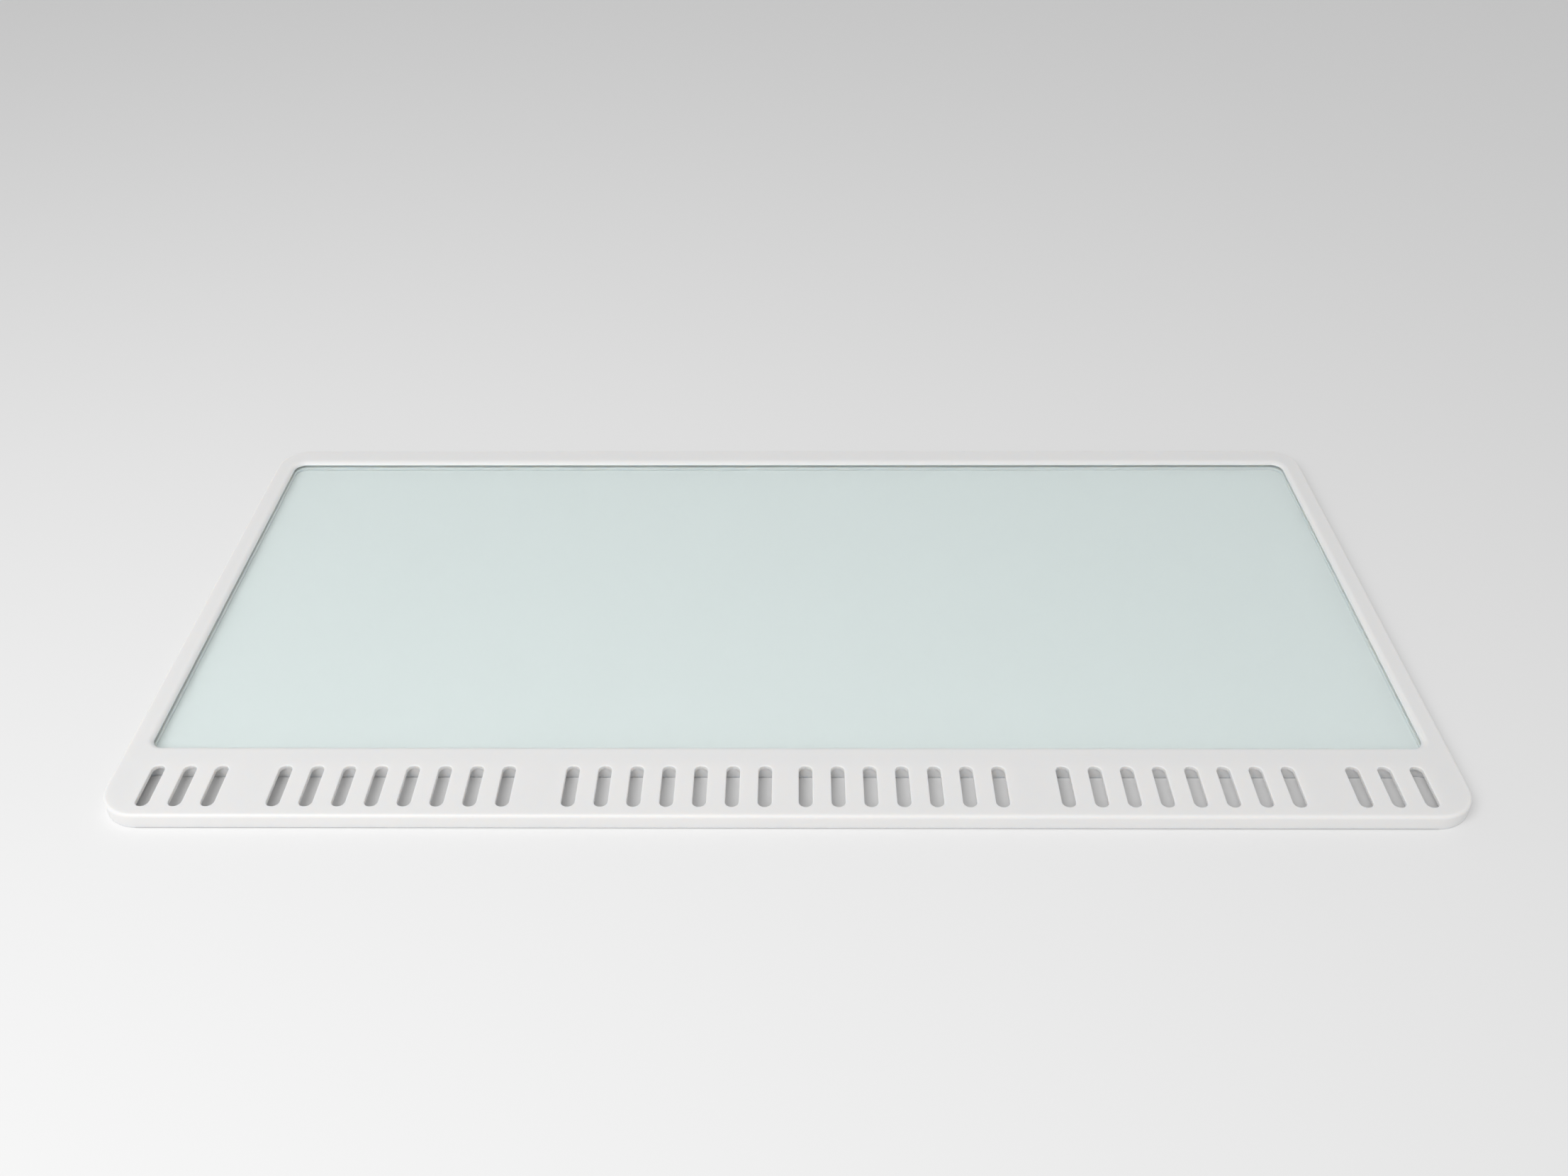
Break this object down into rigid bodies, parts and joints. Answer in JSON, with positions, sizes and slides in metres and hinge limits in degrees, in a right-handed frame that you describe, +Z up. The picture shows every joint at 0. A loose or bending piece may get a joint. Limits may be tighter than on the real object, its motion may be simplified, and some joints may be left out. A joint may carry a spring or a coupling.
{
  "type": "refrigerator shelf",
  "caption": "Refrigerator shelf: a clear toughened glass pane held all round in a white moulded plastic frame with a slotted front band.",
  "frame": {"origin": "middle of the underside, on the plane that the shelf rests on", "axes": "+X to the right along the shelf's width, -Y towards the slotted front edge, +Z up"},
  "size_m": [0.504, 0.25, 0.0065],
  "materials": {
    "plastic": "moulded white, soft sheen",
    "glass": "clear toughened float glass, faint green"
  },
  "bodies": {
    "root": {"frame": "plastic", "glass_pane": "glass"}
  },
  "joints": []
}
